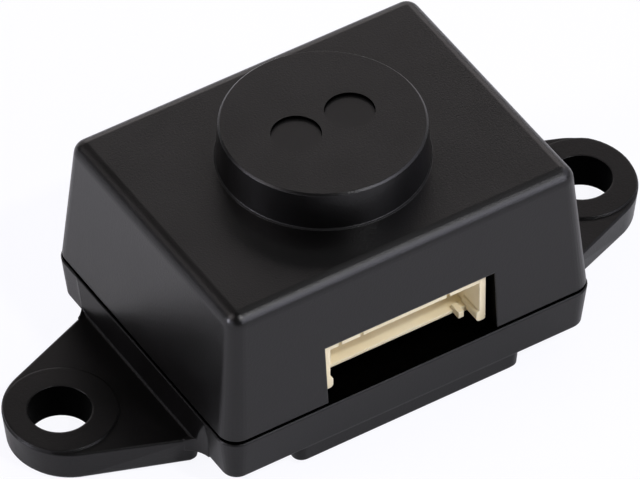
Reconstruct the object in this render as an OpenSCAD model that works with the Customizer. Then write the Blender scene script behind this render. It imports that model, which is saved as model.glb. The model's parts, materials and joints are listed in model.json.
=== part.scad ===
// Laser distance sensor: two-part moulded case with two fixing ears, a round
// optical disc on the roof and a side-entry header in the front wall.
// Origin at the centre of the fixing plane. X along the ears, header faces -Y.

/* [Case] */
// Width of the cover at its lower edge
case_w = 21.2; // [20.4:0.1:23]
// Depth of the cover at its lower edge
case_d = 16.5; // [15.8:0.1:18.5]
// Height of the flat roof above the fixing plane
case_top = 11.5; // [11.2:0.1:13.5]
// Inward lean of each cover wall between its lower edge and the roof
cover_lean = 0.59; // [0.3:0.01:0.8]
// Radius of the upright corners at the lower edge
corner_r = 1; // [0.7:0.05:1.4]
// Rounding of the roof edges
edge_r = 0.78; // [0.4:0.02:1]
// Thickness of the cover walls
wall = 1.2; // [1:0.05:1.4]
// Thickness of the roof
roof = 1.2; // [0.9:0.05:1.5]
// Diameter of the screw columns in the corners
column_d = 3; // [2.7:0.1:3.2]
// Depth to which the columns are sunk into the walls
column_in = 0.3; // [0.1:0.05:0.5]
// Diameter of the two posts that hold the board
post_d = 2.8; // [2.4:0.1:3]
// Distance of the posts inward from the columns
post_in = 1; // [0.8:0.1:1.3]

/* [Base] */
// Height of the base rim above the fixing plane
rim_z = 3.7; // [3.5:0.05:4]
// Height of the shadow groove between base and cover
groove = 0.2; // [0.12:0.01:0.3]
// Amount by which the rim stands out beyond the cover
rim_proud = 0.07; // [0:0.01:0.15]
// Inward lean of the base walls between the rim and the underside
base_lean = 0.27; // [0.1:0.01:0.35]
// Height of the raised underside at both ends
end_z = 1.17; // [1:0.01:1.4]
// Height of the middle pad above the fixing plane
pad_z = 0.23; // [0.1:0.01:0.5]
// Width of the middle pad
pad_w = 12.8; // [11:0.1:13]
// Thickness of the floor above the raised ends
floor_t = 0.95; // [0.7:0.05:1.1]
// Height of the locating lip above the rim
lip_h = 1.2; // [0.8:0.05:1.6]
// Thickness of the locating lip
lip_t = 0.8; // [0.6:0.05:1]
// Gap between the locating lip and the cover wall
lip_fit = 0.15; // [0.12:0.01:0.2]
// Width of the light edge break on rim and ears
edge_break = 0.07; // [0.02:0.01:0.08]
// Inset of the narrow edge break along the undersides of tray and pad
foot_break = 0.06; // [0.04:0.01:0.1]
// Height of the screw seats above the raised ends
shelf_h = 1.2; // [1:0.05:1.4]

/* [Ears] */
// Distance between the two fixing holes
hole_pitch = 30.6; // [29.8:0.1:33]
// Diameter of the fixing holes
hole_d = 3.2; // [2.6:0.1:3.6]
// Thickness of the ears
ear_t = 1.95; // [1.7:0.05:2.3]
// Radius of the rounded ear end
ear_r = 3.39; // [3.2:0.01:3.7]
// Distance of the rounded end's centre inward from the hole
ear_in = 0.6; // [0.4:0.02:0.8]
// Inset of the broad edge break along the undersides of the ears
ear_break = 0.2; // [0.1:0.02:0.24]
// Draw-in of the ear's lower edge where it meets the case
ear_tuck = 0.14; // [0:0.02:0.2]
// Half width of the ear where it meets the case
ear_root = 5.2; // [4.6:0.05:5.4]
// Radius of the upright fillets between ear and case
root_r = 1.2; // [1:0.05:1.8]
// Diameter of the raised seat around each hole
seat_d = 5.8; // [5:0.05:6.2]
// Height of the raised seat
seat_h = 0.1; // [0.05:0.01:0.2]
// Narrow chamfer in the corner between the ears and the end walls
bead = 0.08; // [0.04:0.01:0.12]

/* [Optics] */
// Diameter of the disc at its top edge
disc_d = 10.3; // [9.8:0.1:11]
// Height of the disc above the roof
disc_h = 2.2; // [1.8:0.05:2.6]
// Outward lean of the disc side at its foot
disc_lean = 0.14; // [0.05:0.01:0.3]
// Narrow chamfer in the corner between disc and roof
disc_foot = 0.08; // [0.04:0.01:0.12]
// Diameter of the two windows
window_d = 2.49; // [2.3:0.01:2.7]
// Distance between the two windows
window_pitch = 3.09; // [2.95:0.01:3.2]
// Depth of the window faces below the disc top
window_set = 0.15; // [0.1:0.01:0.3]
// Thickness of the windows
window_t = 0.8; // [0.6:0.05:1]

/* [Header] */
// Number of header contacts
ways = 5; // [4:1:5]
// Distance between neighbouring contacts
pitch = 1.25; // [1.2:0.05:1.4]
// Width of the header beyond its outer contacts, both ends together
head_ends = 4.36; // [4:0.02:4.6]
// Depth of the header body
head_d = 5.2; // [5:0.1:5.6]
// Thickness of the header end walls
head_wall = 0.35; // [0.25:0.05:0.45]
// Thickness of the header floor
head_floor = 0.18; // [0.15:0.01:0.3]
// Thickness of the header roof under the board
head_roof = 0.72; // [0.5:0.02:0.8]
// Distance of the floor edge behind the header face
floor_set = 1.17; // [1:0.01:1.3]
// Thickness of the contacts
pin_t = 0.3; // [0.2:0.02:0.4]
// Distance of the contact tips behind the header face
pin_set = 1.2; // [1:0.1:1.5]
// Length of the solder feet behind the header
foot_l = 0.8; // [0.6:0.1:1]
// Thickness of solder feet and leads
lead_t = 0.15; // [0.1:0.01:0.18]
// Depth of the solder tabs on the header ends
tab_d = 1.8; // [1.5:0.1:2.2]
// Height of the solder tabs
tab_h = 1.2; // [1:0.1:1.5]
// Reach of the solder tabs beside the header
tab_out = 0.9; // [0.6:0.05:1]
// Height of the rounded lips at the foot of the end walls
end_lip = 0.52; // [0.46:0.02:0.7]
// Depth of the notches in the front edge of the header roof
notch_d = 0.5; // [0.3:0.05:0.7]
// Distance of the small rib inward from the end wall
rib_in = 0.78; // [0.7:0.02:0.9]
// Length of the small rib in front of the floor edge
rib_l = 0.5; // [0.3:0.05:0.8]
// Height of the front opening above the lower edge of the cover
mouth_h = 3.47; // [3.4:0.01:3.75]
// Gap beside the header in the opening
mouth_side = 0.23; // [0.15:0.01:0.4]
// Distance of the header face behind the lower front edge of the cover
header_set = 0.75; // [0.6:0.05:0.9]
// Depth of the header mouth
mouth_deep = 2.8; // [2.4:0.1:3]

/* [Board] */
// Thickness of the circuit board
board_t = 1; // [0.8:0.1:1.1]
// Gap between the board edge and the cover walls
board_gap = 0.25; // [0.2:0.05:0.4]
// Length of the ranging chip
chip_l = 5; // [4.6:0.1:5.4]
// Width of the ranging chip
chip_w = 2.6; // [2.4:0.1:2.8]
// Height of the ranging chip
chip_h = 1; // [0.9:0.05:1.1]
// Width of the soft gasket on every side beyond the ranging chip
gasket_w = 0.4; // [0.2:0.05:0.5]
// Side of the square controller chip
control_w = 4; // [3.6:0.1:4.2]
// Height of the controller chip
control_h = 0.8; // [0.7:0.05:1]
// Width of the interface chip
link_w = 2.4; // [2.1:0.1:2.6]
// Depth of the interface chip
link_d = 2.2; // [2:0.1:2.4]
// Length of the chip leads
lead_l = 0.45; // [0.3:0.05:0.5]
// Width of the regulator
reg_w = 1.4; // [1.2:0.1:1.6]
// Depth of the regulator
reg_d = 2.8; // [2.5:0.1:3]
// Width of the crystal
crystal_w = 1.6; // [1.4:0.1:1.8]
// Depth of the crystal
crystal_d = 2; // [1.8:0.1:2.2]
// Length of the surge diode
diode_l = 1.2; // [1:0.05:1.25]
// Length of the small components
small_l = 1; // [0.8:0.05:1.05]
// Width of the small components
small_w = 0.5; // [0.4:0.05:0.55]
// Height of the small capacitors
cap_h = 0.5; // [0.4:0.05:0.6]
// Height of the small resistors
res_h = 0.35; // [0.3:0.01:0.4]

/* [Screws] */
// Thread diameter of the case screws
case_thread = 1.6; // [1.4:0.05:1.7]
// Head diameter of the case screws
case_head = 2.7; // [2.5:0.05:2.8]
// Head height of the case screws
case_head_h = 0.9; // [0.7:0.05:1]
// Length of the case screws under the head
case_reach = 5.5; // [4.5:0.1:5.8]
// Thread diameter of the board screws
board_thread = 1.2; // [1:0.05:1.3]
// Head diameter of the board screws
board_head = 2.4; // [2.2:0.05:2.5]
// Head height of the board screws
board_head_h = 0.7; // [0.5:0.05:0.8]
// Length of the board screws in the posts
board_grip = 1.2; // [1:0.05:1.3]

/* [Hidden] */
$fn = 96;
lap = 0.3;
fit = 0.02;
eps = 0.05;

cover_z = rim_z + groove;
ceiling = case_top - roof;
disc_z = case_top + disc_h;
slope = cover_lean / (case_top - cover_z);

rim_w = case_w / 2 + rim_proud;
rim_d = case_d / 2 + rim_proud;
rake = base_lean / (rim_z - end_z);
floor_z = end_z + floor_t;

col_r = column_d / 2;
col_x = case_w / 2 - wall - col_r + column_in;
col_y = case_d / 2 - wall - col_r + column_in;
pilot_r = case_thread / 2;
shelf_z = end_z + shelf_h;
pilot_z = shelf_z + case_reach + 0.5;

lip_x = case_w / 2 - wall - lip_fit;
lip_y = case_d / 2 - wall - lip_fit;
lip_z = rim_z + lip_h;

head_w = pitch * (ways - 1) + head_ends;
head_face = header_set - case_d / 2;
head_back = head_face + head_d;
head_lift = 0.1;
head_z = cover_z + head_lift;
mouth_top = cover_z + mouth_h;
mouth_x = head_w / 2 + mouth_side;
board_z = mouth_top - 0.03;
board_top = board_z + board_t;
pin_z = (head_z + head_floor + board_z - head_roof) / 2 + 0.15;

chip_top = board_top + chip_h;
board_w = case_w / 2 - wall - slope * (board_top - cover_z) - board_gap;
board_d = case_d / 2 - wall - slope * (board_top - cover_z) - board_gap;
post_x = col_x - post_in;
post_r = post_d / 2;
post_bore = board_thread / 2;

seat_z = ear_t + seat_h;
ear_x = hole_pitch / 2 - ear_in;
side_z = ear_t - edge_break;
toe_r = 0.6;
toe_x = case_w / 2 + 0.05;
toe_y = ear_root - toe_r;
window_z = disc_z - window_set - window_t;

// Copies its children to both sides of the YZ plane.
module both_x() {
  children();
  mirror([1, 0, 0]) children();
}

// Copies its children to both sides of the XZ plane.
module both_y() {
  children();
  mirror([0, 1, 0]) children();
}

// Puts its children at the four screw columns, at the height z.
module at_columns(z) {
  for (x = [-col_x, col_x], y = [-col_y, col_y]) translate([x, y, z]) children();
}

// A plain block given by its corners.
module block(x0, x1, y0, y1, z0, z1) {
  translate([x0, y0, z0]) cube([x1 - x0, y1 - y0, z1 - z0]);
}

// Leaning block: half sizes at the level z0 shrink by k for every millimetre of height.
module leaning(a, b, z0, z1, k) {
  h = z1 - z0;
  intersection() {
    translate([0, b + 1, z0]) rotate([90, 0, 0]) linear_extrude(2 * b + 2)
      polygon([[-a, 0], [a, 0], [a - k * h, h], [-a + k * h, h]]);
    translate([-a - 1, 0, z0]) rotate([90, 0, 90]) linear_extrude(2 * a + 2)
      polygon([[-b, 0], [b, 0], [b - k * h, h], [-b + k * h, h]]);
  }
}

// Outer form of the cover with leaning walls, upright corners and rounded roof edges.
module cover_form() {
  x1 = case_w / 2 - cover_lean - edge_r;
  y1 = case_d / 2 - cover_lean - edge_r;
  x0 = case_w / 2 - corner_r;
  y0 = case_d / 2 - corner_r;
  hull() {
    for (x = [-x0, x0], y = [-y0, y0]) translate([x, y, cover_z]) cylinder(r = corner_r, h = 0.02, $fn = 32);
    for (x = [-x1, x1], y = [-y1, y1]) translate([x, y, case_top - edge_r]) sphere(r = edge_r, $fn = 32);
  }
}

// Disc with a small edge break, standing on the roof.
module disc_form() {
  r = disc_d / 2;
  rotate_extrude()
    polygon([[0, case_top - 0.3], [r + disc_lean + disc_foot, case_top - 0.3],
             [r + disc_lean + disc_foot, case_top], [r + disc_lean, case_top + disc_foot],
             [r + 0.01, disc_z - 0.1], [r - 0.09, disc_z], [0, disc_z]]);
}

// Cover: shell, disc, window seats, light paths, front opening, screw columns and board posts.
module cover() {
  color("#2b2a2c") difference() {
    union() {
      difference() {
        union() {
          cover_form();
          disc_form();
        }
        leaning(case_w / 2 - wall + slope, case_d / 2 - wall + slope, cover_z - 1, ceiling, slope);
      }
      intersection() {
        cover_form();
        at_columns(cover_z) cylinder(r = col_r, h = ceiling - cover_z + 0.4);
      }
      both_x() translate([post_x, 0, board_top]) cylinder(r = post_r, h = ceiling - board_top + 0.4);
    }
    block(-mouth_x, mouth_x, -case_d, -case_d / 2 + wall + 1, cover_z - 1, mouth_top);
    at_columns(cover_z - 1) cylinder(r = pilot_r, h = pilot_z - cover_z + 1);
    both_x() translate([post_x, 0, board_top - 1]) cylinder(r = post_bore, h = board_grip + 1.1);
    both_x() translate([window_pitch / 2, 0, window_z]) cylinder(d = window_d + 2 * fit, h = 3);
    both_x() translate([window_pitch / 2, 0, ceiling - 1])
      cylinder(r = window_d / 2 - 0.4, h = window_z - ceiling + 1.2);
  }
}

// One ear: slab with leaning sides that widens from the rounded end towards the case.
module ear_slab() {
  low = 1.25 * ear_break;
  lean = rake * (side_z - low);
  hull() {
    translate([ear_x, 0, low]) cylinder(r1 = ear_r - lean, r2 = ear_r, h = side_z - low, $fn = 96);
    translate([ear_x, 0, 0]) cylinder(r = ear_r - lean - ear_break, h = 0.02, $fn = 96);
    translate([ear_x, 0, ear_t - 0.02]) cylinder(r = ear_r - edge_break, h = 0.02, $fn = 96);
    for (s = [-1, 1]) translate([toe_x, s * toe_y, 0]) {
      translate([0, -s * ear_tuck, low]) cylinder(r = toe_r - lean, h = 0.02, $fn = 32);
      translate([0, 0, side_z - 0.02]) cylinder(r = toe_r, h = 0.02, $fn = 32);
      translate([0, -s * ear_tuck, 0]) cylinder(r = toe_r - lean - ear_break, h = 0.02, $fn = 32);
      translate([0, 0, ear_t - 0.02]) cylinder(r = toe_r - edge_break, h = 0.02, $fn = 32);
    }
  }
}

// Fillets between the ears and the end walls, cut by cones with the lean of the walls.
// The cones touch the end wall and the upper edge of the ear's side.
module root_fillets() {
  k = rake;
  run = ear_x - toe_x;
  flare = atan2(toe_y, run) - asin((ear_r - toe_r) / sqrt(run * run + toe_y * toe_y));
  cx = rim_w + root_r - 0.004;
  ear_level_r = root_r + k * (rim_z - side_z);
  cy = toe_y + (toe_r + ear_level_r - 0.004 - (cx - toe_x) * sin(flare)) / cos(flare);
  h = rim_z - end_z;
  reach = cx - root_r * sin(flare);
  difference() {
    leaning(reach - k * h, cy - k * h, end_z, rim_z, -k);
    both_x() both_y() translate([cx, cy, end_z - eps])
      cylinder(r1 = root_r + k * (h + eps), r2 = root_r - k * eps, h = h + 2 * eps);
  }
}

// Base: leaning tray with ears, raised seats, middle pad, locating lip and screw shelves.
module base_form() {
  r = corner_r + rim_proud;
  a = rim_w - r;
  b = rim_d - r;
  low = end_z + 1.5 * foot_break;
  hull() {
    for (x = [-a, a], y = [-b, b]) {
      translate([x, y, low]) cylinder(r1 = r - base_lean, r2 = r, h = rim_z - edge_break - low, $fn = 32);
      translate([x, y, end_z]) cylinder(r = r - base_lean - foot_break, h = 0.02, $fn = 32);
      translate([x, y, rim_z - 0.02]) cylinder(r = r - edge_break, h = 0.02, $fn = 32);
    }
  }
}

// Middle pad, flush with the long sides.
module pad_form() {
  y = rim_d - base_lean - rake * (end_z - pad_z);
  hull() {
    for (s = [-1, 1], t = [-1, 1]) {
      translate([s * (pad_w / 2 - 0.5), t * (y - 0.5), pad_z])
        cylinder(r = 0.5 - foot_break, h = 0.02, $fn = 32);
      translate([s * (pad_w / 2 - 0.4), t * (y - 0.5), pad_z + 1.5 * foot_break])
        cylinder(r1 = 0.5, r2 = 0.5 + rake * (end_z - pad_z), h = end_z - pad_z + 0.2, $fn = 32);
    }
  }
}

// Space above the ear. Its wedge gives the end walls their draft the other way and leaves a bead in the
// corner, and its rounded ends let the parting edge climb from the ear to the rim.
module ear_relief() {
  h = 1.5 * (rim_z - ear_t);
  foot = rim_w + 0.1;
  out = ear_x + ear_r;
  k = rim_z - ear_t;
  w = toe_y + k;
  intersection() {
    translate([0, case_d, ear_t]) rotate([90, 0, 0]) linear_extrude(2 * case_d)
      polygon([[foot + bead, 0], [foot, bead], [rim_w - 0.05, h], [out, h], [out, 0]]);
    translate([0, 0, ear_t]) rotate([90, 0, 90]) linear_extrude(out + 1)
      polygon(concat([[-w, h + 1]],
                     [for (a = [-78:12:-6]) [k * sin(a) - toe_y, k - k * cos(a) - 0.02]],
                     [for (a = [6:12:78]) [k * sin(a) + toe_y, k - k * cos(a) - 0.02]],
                     [[w, h + 1]]));
  }
}

// Raised seat around the hole, held within the outline of the ear.
module seat() {
  intersection() {
    translate([hole_pitch / 2, 0, ear_t - 0.3]) cylinder(d = seat_d, h = seat_h + 0.3);
    translate([ear_x, 0, ear_t - 0.3]) cylinder(r = ear_r - edge_break, h = seat_h + 0.3);
  }
}

module base() {
  color("#29282a") difference() {
    union() {
      difference() {
        union() {
          base_form();
          pad_form();
          both_x() ear_slab();
          difference() {
            root_fillets();
            both_x() ear_relief();
          }
        }
        block(-lip_x + lip_t, lip_x - lip_t, -lip_y + lip_t, lip_y - lip_t, floor_z, rim_z + 1);
      }
      both_x() block(lip_x - lip_t, lip_x, -col_y + col_r + lap, col_y - col_r - lap, floor_z, lip_z);
      block(-col_x + col_r + lap, col_x - col_r - lap, lip_y - lip_t, lip_y, floor_z, lip_z);
      both_x() block(mouth_x + 0.2, col_x - col_r - 0.2, -lip_y, -lip_y + lip_t, floor_z, lip_z);
      at_columns(end_z + 0.2) cylinder(r = col_r + 0.4, h = cover_z - end_z - 0.2);
      both_x() seat();
    }
    both_x() translate([hole_pitch / 2, 0, -1]) cylinder(d = hole_d, h = ear_t + 3);
    at_columns(-1) cylinder(r = case_head / 2 + 0.15, h = shelf_z + 1);
    at_columns(0) cylinder(r = pilot_r + 0.15, h = cover_z + 2);
  }
}

// Round filter windows, each seated on its shoulder in the disc.
module window_plug(x) {
  translate([x, 0, window_z]) cylinder(d = window_d, h = window_t);
}

module emitter_window() {
  color("#1b1719") window_plug(-window_pitch / 2);
}

module receiver_window() {
  color("#1b1719") window_plug(window_pitch / 2);
}

// Soft gasket that keeps the two light paths apart between chip and roof.
module light_gasket() {
  x = chip_l / 2 + gasket_w;
  y = chip_w / 2 + gasket_w;
  color("#232323") difference() {
    block(-x, x, -y, y, chip_top, ceiling);
    both_x() translate([window_pitch / 2, 0, chip_top - 1])
      cylinder(r = window_d / 2 - 0.46, h = ceiling - chip_top + 2);
  }
}

// Circuit board with notched corners and two screw holes.
module board() {
  color("#1f5a3a") difference() {
    block(-board_w, board_w, -board_d, board_d, board_z, board_top);
    at_columns(board_z - 1) cylinder(r = col_r + 0.2, h = board_t + 2);
    both_x() translate([post_x, 0, board_z - 1]) cylinder(r = post_bore + 0.2, h = board_t + 2);
  }
}

// Ranging chip on the upper side of the board, with a port for each light path.
module ranging_chip() {
  color("#26262a") difference() {
    block(-chip_l / 2, chip_l / 2, -chip_w / 2, chip_w / 2, board_top, chip_top);
    translate([-window_pitch / 2, 0, chip_top - 0.2]) cylinder(r = 0.35, h = 1);
    translate([window_pitch / 2, 0, chip_top - 0.2]) cylinder(r = 0.5, h = 1);
  }
}

module emitter_port() {
  color("#6d5a38") translate([-window_pitch / 2, 0, chip_top - 0.2]) cylinder(r = 0.35 - fit, h = 0.15);
}

module receiver_port() {
  color("#3a2f52") translate([window_pitch / 2, 0, chip_top - 0.2]) cylinder(r = 0.5 - fit, h = 0.15);
}

// Flat chip under the board with a marked corner.
module flat_chip(x, y, w, d, h) {
  difference() {
    block(x - w / 2, x + w / 2, y - d / 2, y + d / 2, board_z - h, board_z);
    translate([x - w / 2 + 0.5, y - d / 2 + 0.5, board_z - h - 1]) cylinder(r = 0.2, h = 1.08);
  }
}

module controller_chip() {
  color("#1c1c1e") flat_chip(0.25 * board_w, 0.37 * board_d, control_w, control_w, control_h);
}

// Chip with three gull leads on either side.
module interface_chip() {
  x = -0.272 * board_w;
  y = 0.17 * board_d;
  color("#1e1e20") flat_chip(x, y, link_w, link_d, control_h);
  color("#b9b9b4") for (t = [-0.65, 0, 0.65]) both_sides(x, link_w / 2)
    block(-0.3, lead_l, y + t - 0.12, y + t + 0.12, board_z - lead_t, board_z);
}

// Copies its children, which point along +X, to both sides of a body.
module both_sides(x, half) {
  translate([x + half, 0, 0]) children();
  translate([x - half, 0, 0]) mirror([1, 0, 0]) children();
}

// Small regulator with two leads on one side and one on the other.
module regulator() {
  x = -0.635 * board_w;
  y = 0.435 * board_d;
  w = reg_w / 2;
  color("#1e1e20") block(x - w, x + w, y - reg_d / 2, y + reg_d / 2, board_z - chip_h, board_z);
  color("#b9b9b4") for (t = [-0.9, 0.9])
    block(x - w - lead_l, x, y + t - 0.2, y + t + 0.2, board_z - lead_t, board_z);
  color("#b9b9b4") block(x, x + w + lead_l, y - 0.2, y + 0.2, board_z - lead_t, board_z);
}

module crystal() {
  x = 0.657 * board_w;
  y = 0.65 * board_d;
  w = crystal_w / 2;
  d = crystal_d / 2;
  color("#c9c8c2") block(x - w, x + w, y - d, y + d, board_z - 0.6, board_z);
}

module surge_diode() {
  x = 0.47 * board_w;
  y = head_back + 0.8;
  color("#1e1e20") block(x - diode_l / 2, x + diode_l / 2, y - 0.4, y + 0.4, board_z - 0.7, board_z);
  color("#b9b9b4") both_sides(x, diode_l / 2) block(-0.3, 0.3, y - 0.25, y + 0.25, board_z - lead_t, board_z);
}

// One small two-ended component at a share of the board's half sizes.
// s is +1 above the board and -1 below it.
module two_ended(u, v, turn, h, s) {
  z = s > 0 ? board_top : board_z - h;
  translate([u * board_w, v * board_d, z]) rotate([0, 0, turn])
    block(-small_l / 2, small_l / 2, -small_w / 2, small_w / 2, 0, h);
}

module capacitors() {
  color("#a58a66") {
    two_ended(-0.44, 0, 90, cap_h, 1);
    two_ended(0.44, 0, 90, cap_h, 1);
    two_ended(-0.23, 0.42, 0, cap_h, 1);
    two_ended(0.23, 0.42, 0, cap_h, 1);
    two_ended(-0.59, 0.06, 0, cap_h, -1);
    two_ended(-0.62, 0.82, 0, cap_h, -1);
    two_ended(0.555, 0.18, 90, cap_h, -1);
    two_ended(-0.05, 0.82, 0, cap_h, -1);
  }
}

module resistors() {
  color("#2a2a2e") {
    two_ended(0, 0.42, 0, res_h, 1);
    two_ended(-0.27, 0.52, 0, res_h, -1);
    two_ended(-0.27, 0.66, 0, res_h, -1);
    two_ended(0.15, 0.82, 0, res_h, -1);
    two_ended(0.36, 0.82, 0, res_h, -1);
    two_ended(0.66, 0.3, 90, res_h, -1);
  }
}

// Front view of the header's end wall: a thin wall that ends in a wider, rounded lip.
module end_wall() {
  w = head_w / 2;
  lip = head_wall + 0.17;
  block(w - head_wall, w, head_face, head_back, head_z + 0.2, board_z);
  block(w - lip + 0.2, w - 0.12, head_face, head_face + floor_set + 0.2, head_z, head_z + 0.4);
  block(w - lip, w, head_face, head_face + floor_set + 0.2, head_z + 0.2, head_z + end_lip);
  for (c = [[w - lip + 0.2, 0.2, 0.2], [w - 0.12, 0.12, 0.12], [w - lip + 0.14, end_lip, 0.14]])
    translate([c[0], head_face, head_z + c[1]]) rotate([-90, 0, 0]) cylinder(r = c[2], h = floor_set + 0.2);
}

// Header body hanging below the board: roof, end walls with lips, short floor and contact block.
module header_shell() {
  w = head_w / 2;
  y0 = head_face;
  y1 = head_face + mouth_deep;
  rib_x = w - head_wall - rib_in;
  color("#ece2ca") difference() {
    union() {
      block(-w, w, y0, head_back, board_z - head_roof, board_z);
      block(-w, w, y1, head_back, head_z, board_z);
      block(-w + 0.1, w - 0.1, y0 + floor_set, head_back, head_z, head_z + head_floor);
      both_x() end_wall();
      block(rib_x, rib_x + 0.3, y0 + floor_set - rib_l, y0 + floor_set + 0.2, head_z, head_z + 0.4);
      block(rib_x, w - 0.1, y0 + floor_set - 0.2, y0 + floor_set + 0.2, head_z, head_z + 0.35);
    }
    for (i = [-3, -2, 2]) translate([pitch * i, 0, board_z - head_roof])
      block(-0.1, 0.1, y0 - 1, y0 + notch_d, -1, 0.2);
    for (i = [0:ways - 1]) pin(i, fit);
  }
}

// One contact: blade in the mouth, rise behind the block and solder foot under the board.
module pin(i, grow) {
  x = (i - (ways - 1) / 2) * pitch;
  t = pin_t / 2 + grow;
  rise = head_back + pin_t;
  block(x - t, x + t, head_face + pin_set, rise + pin_t, pin_z - t, pin_z + t);
  block(x - t, x + t, rise, rise + pin_t, pin_z - t, board_z);
  block(x - t, x + t, rise, rise + foot_l, board_z - lead_t, board_z);
}

module header_pins() {
  color("#c8b27a") for (i = [0:ways - 1]) pin(i, 0);
}

// Solder tabs on both ends of the header.
module header_tabs() {
  w = head_w / 2;
  y0 = head_face + (head_d - tab_d) / 2;
  color("#c4c4be") both_x() {
    block(w, w + lead_t, y0, y0 + tab_d, board_z - tab_h, board_z);
    block(w, w + tab_out, y0, y0 + tab_d, board_z - lead_t, board_z);
  }
}

// Pan-head screw pointing up, its bearing face at the level z.
module screw(z, head, head_h, shank_r, reach) {
  difference() {
    union() {
      translate([0, 0, z - head_h]) cylinder(d = head, h = head_h);
      translate([0, 0, z - eps]) cylinder(r = shank_r, h = reach + eps);
    }
    for (a = [0, 90]) rotate([0, 0, a])
      block(-head * 0.27, head * 0.27, -0.12, 0.12, z - head_h - 1, z - head_h * 0.55);
  }
}

module board_screws() {
  color("#bdbdb8") both_x() translate([post_x, 0, 0])
    screw(board_z, board_head, board_head_h, post_bore - fit, board_t + board_grip);
}

module case_screws() {
  color("#3a3a3c") at_columns(0) screw(shelf_z, case_head, case_head_h, pilot_r - fit, case_reach);
}

cover();
base();
emitter_window();
receiver_window();
light_gasket();
board();
ranging_chip();
emitter_port();
receiver_port();
controller_chip();
interface_chip();
regulator();
crystal();
surge_diode();
capacitors();
resistors();
header_shell();
header_pins();
header_tabs();
board_screws();
case_screws();
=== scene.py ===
import json
import math
import bpy
from mathutils import Matrix, Vector

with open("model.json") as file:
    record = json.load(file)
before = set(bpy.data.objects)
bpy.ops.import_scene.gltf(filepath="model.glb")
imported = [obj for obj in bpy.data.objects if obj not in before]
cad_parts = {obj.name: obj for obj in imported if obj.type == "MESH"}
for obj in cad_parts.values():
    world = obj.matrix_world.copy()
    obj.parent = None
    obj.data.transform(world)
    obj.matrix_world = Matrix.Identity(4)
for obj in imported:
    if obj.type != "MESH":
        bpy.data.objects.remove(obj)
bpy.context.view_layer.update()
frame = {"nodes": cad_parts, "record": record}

scene = bpy.context.scene
nodes = frame["nodes"]
MM = 0.001

# Places on the part that its materials follow, in mm; all but WINDOW_RIMS and DISC are painted black as
# painted shade
CAVITY = dict(half_x=9.55, half_y=7.2, z_low=0.0, z_high=10.45)
OPENING = dict(half_x=4.93, half_y=9.0, z_low=0.0, z_high=7.4)
TRAY = dict(half_x=9.4, half_y=7.1, z_low=2.0, z_high=9.0)
RIM_TOP = dict(half_x=10.6, half_y=8.25, z_low=3.698, z_high=9.0)
BORES = dict(centre_x=15.3, radius=1.63, z_low=-1.0, z_high=2.03)
RECESSES = dict(centre_x=1.545, radius=1.29, z_low=12.0, z_high=13.69)
WINDOW_RIMS = dict(centre_x=1.545, radius=1.5, z_low=13.0, z_high=14.0)
DISC = dict(centre_x=0.0, radius=5.7, z_low=11.45, z_high=14.0)
DISC_FOOT = dict(centre_x=0.0, radius=5.36, z_low=11.502, z_high=11.56)
# The front face, behind which the opening's cut is painted black as painted shade
FACE_Y, FACE_Z = -8.25, 3.9    # foot of the front face
FACE_LEAN = 0.0776             # its lean to the back for each mm of height
CUT_START = 0.08               # how far behind the face the opening's dark zone begins


# Node helpers --------------------------------------------------------------

def new_material(name):
    mat = bpy.data.materials.new(name)
    mat.use_nodes = True
    tree = mat.node_tree
    tree.nodes.clear()
    out = tree.nodes.new("ShaderNodeOutputMaterial")
    shader = tree.nodes.new("ShaderNodeBsdfPrincipled")
    tree.links.new(shader.outputs["BSDF"], out.inputs["Surface"])
    return mat, tree, shader


def calc(tree, operation, *values):
    n = tree.nodes.new("ShaderNodeMath")
    n.operation = operation
    for i, v in enumerate(values):
        if isinstance(v, (int, float)):
            n.inputs[i].default_value = v
        else:
            tree.links.new(v, n.inputs[i])
    return n.outputs[0]


def chain(tree, operation, first, *rest):
    for v in rest:
        first = calc(tree, operation, first, v)
    return first


def axes(tree, coords):
    n = tree.nodes.new("ShaderNodeSeparateXYZ")
    tree.links.new(coords, n.inputs[0])
    return n.outputs


def noise(tree, coords, per_mm, detail, rough=0.55):
    n = tree.nodes.new("ShaderNodeTexNoise")
    n.inputs["Scale"].default_value = per_mm / MM
    n.inputs["Detail"].default_value = detail
    n.inputs["Roughness"].default_value = rough
    tree.links.new(coords, n.inputs["Vector"])
    return n.outputs["Fac"]


def remap(tree, value, low, high, lo_in=0.3, hi_in=0.7):
    m = tree.nodes.new("ShaderNodeMapRange")
    m.inputs["From Min"].default_value = lo_in
    m.inputs["From Max"].default_value = hi_in
    m.inputs["To Min"].default_value = low
    m.inputs["To Max"].default_value = high
    tree.links.new(value, m.inputs["Value"])
    return m.outputs["Result"]


def two_colors(tree, value, a, b, start=0.32, end=0.68):
    r = tree.nodes.new("ShaderNodeValToRGB")
    for element, position, color in zip(r.color_ramp.elements, (start, end), (a, b)):
        element.position = position
        element.color = (*color, 1)
    tree.links.new(value, r.inputs["Fac"])
    return r.outputs["Color"]


def blend(tree, factor, a, b):
    """From a, which is linked, to b, a fixed number or colour."""
    n = tree.nodes.new("ShaderNodeMix")
    is_color = isinstance(b, tuple)
    n.data_type = "RGBA" if is_color else "FLOAT"
    tree.links.new(factor, n.inputs["Factor"])
    tree.links.new(a, n.inputs["A"])
    n.inputs["B"].default_value = (*b, 1) if is_color else b
    return n.outputs["Result"]


def grain_bump(tree, shader, height, strength, depth, normal=None):
    b = tree.nodes.new("ShaderNodeBump")
    b.inputs["Strength"].default_value = strength
    b.inputs["Distance"].default_value = depth * MM
    tree.links.new(height, b.inputs["Height"])
    if normal:
        tree.links.new(normal, b.inputs["Normal"])
    tree.links.new(b.outputs["Normal"], shader.inputs["Normal"])


# Zones, 1 inside and 0 outside ---------------------------------------------

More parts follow.
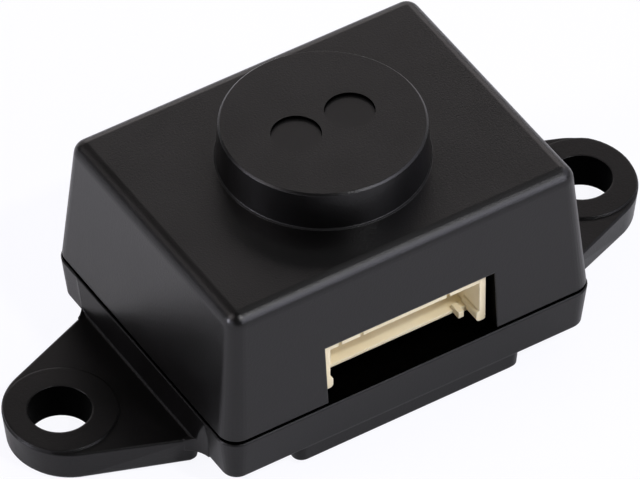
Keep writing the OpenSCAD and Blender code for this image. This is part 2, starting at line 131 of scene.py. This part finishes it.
def box_zone(tree, coords, half_x, half_y, z_low, z_high):
    """A box round the Z axis."""
    x, y, z = axes(tree, coords)
    return chain(tree, "MULTIPLY",
                 calc(tree, "LESS_THAN", calc(tree, "ABSOLUTE", x), half_x * MM),
                 calc(tree, "LESS_THAN", calc(tree, "ABSOLUTE", y), half_y * MM),
                 calc(tree, "GREATER_THAN", z, z_low * MM),
                 calc(tree, "LESS_THAN", z, z_high * MM))


def ring_zone(tree, coords, centre_x, radius, z_low, z_high):
    """Two upright cylinders, at plus and minus centre_x."""
    x, y, z = axes(tree, coords)
    dx = calc(tree, "SUBTRACT", calc(tree, "ABSOLUTE", x), centre_x * MM)
    square = calc(tree, "ADD", calc(tree, "MULTIPLY", dx, dx), calc(tree, "MULTIPLY", y, y))
    return chain(tree, "MULTIPLY",
                 calc(tree, "LESS_THAN", calc(tree, "SQRT", square), radius * MM),
                 calc(tree, "GREATER_THAN", z, z_low * MM),
                 calc(tree, "LESS_THAN", z, z_high * MM))


def cover_painted_shade(tree, coords):
    """Painted shade on the cover: the cavity, the opening's cut through the front wall and the walls round
    the windows painted black, and, less dark, the crease at the disc's foot."""
    y, z = axes(tree, coords)[1:]
    cut_y = (FACE_Y - FACE_LEAN * FACE_Z + CUT_START) * MM
    face = calc(tree, "MULTIPLY_ADD", z, FACE_LEAN, cut_y)
    cut = chain(tree, "MULTIPLY", box_zone(tree, coords, **OPENING),
                calc(tree, "GREATER_THAN", y, face), calc(tree, "LESS_THAN", y, 0.0))
    # The crease at the disc's foot gets 0.6 of the painted shade, which tones down its highlight
    crease_shade_share = 0.6
    crease = calc(tree, "MULTIPLY", ring_zone(tree, coords, **DISC_FOOT), crease_shade_share)
    return chain(tree, "MAXIMUM", box_zone(tree, coords, **CAVITY), cut,
                 ring_zone(tree, coords, **RECESSES), crease)


def base_painted_shade(tree, coords):
    """Painted shade on the base: the inside of the tray, the top of its rim and the bores of the ears
    painted black.
    """
    return chain(tree, "MAXIMUM", box_zone(tree, coords, **TRAY), box_zone(tree, coords, **RIM_TOP),
                 ring_zone(tree, coords, **BORES))


# Materials -----------------------------------------------------------------

MOTTLES_PER_MM = 0.35
# Painted shade: the black colour and roughness given to the shaded zones, which are also made metallic so
# they lose their reflections
PAINTED_SHADE_COLOR, PAINTED_SHADE_ROUGH = (0.0005, 0.0005, 0.0005), 0.9
WEAR_SHARE = 0.5                       # share of the wear colour on the sharpest edge
WEAR_FULL, WEAR_NONE = 0.75, 0.98      # cosines between the rounded normal and the surface's own


def rounded(tree, coords, radius):
    """The normal with edges and facets rounded off, less on the disc and not at all round the windows."""
    bevel = tree.nodes.new("ShaderNodeBevel")
    bevel.samples = 6
    disc_crisp = 0.6
    disc = calc(tree, "MULTIPLY", ring_zone(tree, coords, **DISC), disc_crisp)
    crisp = calc(tree, "MAXIMUM", disc, ring_zone(tree, coords, **WINDOW_RIMS))
    scaled = calc(tree, "MULTIPLY", calc(tree, "SUBTRACT", 1.0, crisp), radius * MM)
    tree.links.new(scaled, bevel.inputs["Radius"])
    return bevel.outputs["Normal"]


def worn_edges(tree, color, wear, normal):
    """Lightens the colour where the rounded normal turns away from the surface's own."""
    geo = tree.nodes.new("ShaderNodeNewGeometry")
    dot = tree.nodes.new("ShaderNodeVectorMath")
    dot.operation = "DOT_PRODUCT"
    tree.links.new(normal, dot.inputs[0])
    tree.links.new(geo.outputs["Normal"], dot.inputs[1])
    edge = remap(tree, dot.outputs["Value"], WEAR_SHARE, 0.0, WEAR_FULL, WEAR_NONE)
    return blend(tree, edge, color, wear)


def moulded(name, dark, light, rough, grain, bump, depth, wear=None, wear_r=None, specular=0.5,
            painted_shade_zones=None):
    """Moulded plastic: slow mottling, fine spark-eroded grain, uneven gloss, worn edges and painted shade in
    the hollows.

    rough is the range of the roughness, grain a number per mm, bump the grain's strength, and depth and
    wear_r, the radius of the edges, are in mm."""
    mat, tree, shader = new_material(name)
    coords = tree.nodes.new("ShaderNodeTexCoord").outputs["Object"]
    slow = noise(tree, coords, MOTTLES_PER_MM, detail=2.0)
    fine = noise(tree, coords, grain, detail=2.0, rough=0.6)
    color = two_colors(tree, slow, dark, light)
    normal = None
    if wear:
        normal = rounded(tree, coords, wear_r)
        color = worn_edges(tree, color, wear, normal)
    mixed = calc(tree, "ADD", calc(tree, "MULTIPLY", fine, 0.5), calc(tree, "MULTIPLY", slow, 0.5))
    gloss = remap(tree, mixed, *rough)
    # Painted shade: the zones are painted black, made rough and metallic, which takes away their light and
    # reflections
    if painted_shade_zones:
        painted_shade_mask = painted_shade_zones(tree, coords)
        color = blend(tree, painted_shade_mask, color, PAINTED_SHADE_COLOR)
        gloss = blend(tree, painted_shade_mask, gloss, PAINTED_SHADE_ROUGH)
        tree.links.new(painted_shade_mask, shader.inputs["Metallic"])
    tree.links.new(color, shader.inputs["Base Color"])
    tree.links.new(gloss, shader.inputs["Roughness"])
    shader.inputs["Specular IOR Level"].default_value = specular
    grain_bump(tree, shader, fine, bump, depth, normal)
    return mat


def metal(name, dark, light, rough=(0.25, 0.4)):
    """Bare metal with cloudy colour and fine, uneven gloss."""
    mat, tree, shader = new_material(name)
    coords = tree.nodes.new("ShaderNodeTexCoord").outputs["Object"]
    slow = noise(tree, coords, per_mm=0.8, detail=3.0)
    fine = noise(tree, coords, per_mm=6.0, detail=3.0)
    tree.links.new(two_colors(tree, slow, dark, light), shader.inputs["Base Color"])
    tree.links.new(remap(tree, fine, *rough), shader.inputs["Roughness"])
    shader.inputs["Metallic"].default_value = 1.0
    grain_bump(tree, shader, fine, strength=0.1, depth=0.01)
    return mat


BLACK = dict(dark=(0.0006, 0.0005, 0.0005), light=(0.0012, 0.0010, 0.0011))
SATIN = dict(**BLACK, rough=(0.28, 0.35), grain=10.0, bump=0.8, depth=0.0095,
             wear=(0.008, 0.008, 0.008), wear_r=0.13)
# The small pieces inside: dark, light, rough, grain, bump, depth
INSIDE = {
    "gasket_rubber": ((0.018, 0.018, 0.018), (0.028, 0.028, 0.028), (0.75, 0.9), 7.0, 0.6, 0.03),
    "board_laminate": ((0.010, 0.085, 0.035), (0.016, 0.12, 0.05), (0.3, 0.42), 12.0, 0.3, 0.008),
    "chip_body": ((0.014, 0.014, 0.015), (0.022, 0.022, 0.024), (0.5, 0.62), 16.0, 0.4, 0.006),
    "sensor_port": ((0.08, 0.05, 0.04), (0.12, 0.08, 0.06), (0.1, 0.2), 10.0, 0.1, 0.002),
    "capacitor_ceramic": ((0.34, 0.22, 0.12), (0.42, 0.28, 0.16), (0.5, 0.65), 12.0, 0.4, 0.008),
    "resistor_body": ((0.02, 0.02, 0.024), (0.04, 0.04, 0.046), (0.35, 0.5), 12.0, 0.3, 0.006),
}
look = {slot: moulded(slot, *values) for slot, values in INSIDE.items()}
look["cover_plastic"] = moulded("cover_plastic", **SATIN, specular=0.38, painted_shade_zones=cover_painted_shade)
look["base_plastic"] = moulded("base_plastic", **SATIN, specular=0.23, painted_shade_zones=base_painted_shade)
look["window_filter"] = moulded("window_filter", **BLACK, rough=(0.28, 0.32), grain=14.0, bump=0.1,
                                depth=0.002, specular=0.40)
look["header_plastic"] = moulded("header_plastic", dark=(0.87, 0.76, 0.51), light=(0.92, 0.83, 0.60),
                                 rough=(0.42, 0.55), grain=7.0, bump=0.3, depth=0.006,
                                 wear=(0.96, 0.93, 0.82), wear_r=0.08)
look["crystal_can"] = metal("crystal_can", (0.5, 0.49, 0.46), (0.66, 0.65, 0.62))
look["tinned_metal"] = metal("tinned_metal", (0.55, 0.54, 0.51), (0.7, 0.69, 0.66))
look["screw_zinc"] = metal("screw_zinc", (0.5, 0.5, 0.5), (0.66, 0.66, 0.65))
look["screw_black"] = metal("screw_black", (0.03, 0.03, 0.032), (0.06, 0.06, 0.064), (0.35, 0.5))

for part in frame["record"]["subparts"]:
    mesh = nodes[part["node"]].data
    mesh.materials.clear()
    mesh.materials.append(look[part["material_slot"]])


# Camera, fitted to the photo -----------------------------------------------

AZIMUTH, ELEVATION, ROLL = -31.978, 44.765, -0.2765    # degrees
DISTANCE, AIM_HEIGHT = 448.378, 0.388                  # mm: to the aim, and its height above the origin
FOCAL, PHOTO_WIDTH = 9000, 640                         # pixels
AIM_RIGHT, AIM_DOWN = 3.936, 76.012                    # pixels from the photo's middle to the aim
SENSOR = 36.0

az, el, roll = math.radians(AZIMUTH), math.radians(ELEVATION), math.radians(ROLL)
back = Vector((math.sin(az) * math.cos(el), -math.cos(az) * math.cos(el), math.sin(el)))
right = Vector((math.cos(az), math.sin(az), 0.0))
up = back.cross(right)
photo_x = math.cos(roll) * right + math.sin(roll) * up
photo_y = -math.sin(roll) * right + math.cos(roll) * up
ahead = (-back - photo_x * (AIM_RIGHT / FOCAL) + photo_y * (AIM_DOWN / FOCAL)).normalized()
z_axis = -ahead
x_axis = (photo_x - z_axis * photo_x.dot(z_axis)).normalized()
y_axis = z_axis.cross(x_axis)
cam_data = bpy.data.cameras.new("camera")
cam_data.sensor_width = SENSOR
cam_data.lens = FOCAL / PHOTO_WIDTH * SENSOR
cam_data.clip_start = 0.01
cam_data.clip_end = 10.0
cam = bpy.data.objects.new("camera", cam_data)
cam.matrix_world = Matrix((x_axis, y_axis, z_axis)).transposed().to_4x4()
cam.location = Vector((0, 0, AIM_HEIGHT * MM)) + back * (DISTANCE * MM)
scene.collection.objects.link(cam)
scene.camera = cam


# Stage ---------------------------------------------------------------------

FLOOR_SIZE, FLOOR_GAP = 6.0, 0.00002             # metres; the gap keeps it off the ears' undersides
WHITE_TO_CAMERA, WHITE_IN_GLOSS = 0.92, 0.2      # share of the floor that is plain white

# The floor is white to the camera, with a faint shadow left. In gloss and glass it is white by a small share
# only: the lit floor is nearly white by itself, and its shadow shows in the object's sides.
bpy.ops.mesh.primitive_plane_add(size=FLOOR_SIZE, location=(0, 0, -FLOOR_GAP))
floor = bpy.context.object
floor.name = "floor"
mat, tree, shader = new_material("floor")
shader.inputs["Roughness"].default_value = 0.9
shader.inputs["Specular IOR Level"].default_value = 0.0
coords = tree.nodes.new("ShaderNodeTexCoord").outputs["Object"]
clouds = noise(tree, coords, per_mm=0.02, detail=2.0)
color = two_colors(tree, clouds, (0.82, 0.82, 0.85), (0.83, 0.83, 0.86))
tree.links.new(color, shader.inputs["Base Color"])
white = tree.nodes.new("ShaderNodeEmission")
white.inputs["Color"].default_value = (1.0, 1.0, 1.04, 1)
white.inputs["Strength"].default_value = 1.0
ray = tree.nodes.new("ShaderNodeLightPath").outputs
reflected = calc(tree, "MAXIMUM", ray["Is Glossy Ray"], ray["Is Transmission Ray"])
share = calc(tree, "MAXIMUM", calc(tree, "MULTIPLY", ray["Is Camera Ray"], WHITE_TO_CAMERA),
             calc(tree, "MULTIPLY", reflected, WHITE_IN_GLOSS))
mix = tree.nodes.new("ShaderNodeMixShader")
out = shader.outputs["BSDF"].links[0].to_node
tree.links.new(share, mix.inputs["Fac"])
tree.links.new(shader.outputs["BSDF"], mix.inputs[1])
tree.links.new(white.outputs[0], mix.inputs[2])
tree.links.new(mix.outputs[0], out.inputs["Surface"])
floor.data.materials.append(mat)

# The world is white below and at the horizon, and nearly black above it
WHITE_UP_TO, DARK_FROM = 0.05, 0.10              # sines of the elevation
world = bpy.data.worlds.new("world")
scene.world = world
world.use_nodes = True
tree = world.node_tree
tree.nodes.clear()
out = tree.nodes.new("ShaderNodeOutputWorld")
sky = tree.nodes.new("ShaderNodeBackground")
height = axes(tree, tree.nodes.new("ShaderNodeTexCoord").outputs["Generated"])[2]
fade = two_colors(tree, height, (1, 1, 1), (0.04, 0.04, 0.04), WHITE_UP_TO, DARK_FROM)
tree.links.new(fade, sky.inputs["Color"])
tree.links.new(sky.outputs[0], out.inputs["Surface"])


def softbox(name, azimuth, elevation, width, height, radiance, color=(1, 1, 1)):
    """A rectangular lamp that looks at the object from 1 m; angles in degrees, azimuth 0 is -Y, 90 is +X."""
    a, e = math.radians(azimuth), math.radians(elevation)
    d = Vector((math.sin(a) * math.cos(e), -math.cos(a) * math.cos(e), math.sin(e)))
    light = bpy.data.lights.new(name, "AREA")
    light.shape = "RECTANGLE"
    light.size = 2 * math.tan(math.radians(width / 2))
    light.size_y = 2 * math.tan(math.radians(height / 2))
    light.energy = radiance * math.pi * light.size * light.size_y
    light.color = color
    o = bpy.data.objects.new(name, light)
    o.location = d
    o.rotation_mode = "QUATERNION"
    o.rotation_quaternion = d.to_track_quat("Z", "Y")
    o.visible_camera = False
    scene.collection.objects.link(o)


COOL, WARM = (0.95, 0.94, 1.08), (1.06, 0.98, 0.99)
softbox("front_key", 18, 54, 4, 4, 255.0)
softbox("front_right", 27, 28, 30, 26, 4.8, COOL)
softbox("right_high", 76, 36, 50, 40, 1.3, COOL)
softbox("over", 115, 66, 50, 22, 0.5)
softbox("back_right", 137, 27, 60, 24, 1.75, WARM)
softbox("back", 180, 27, 36, 26, 1.0, WARM)
softbox("left_key", 258, 17, 16, 14, 20.0, COOL)
softbox("left_low", 289, 12, 34, 22, 1.2, COOL)
softbox("left_high", 250, 47, 40, 30, 2.1, WARM)

scene.view_settings.view_transform = "Standard"
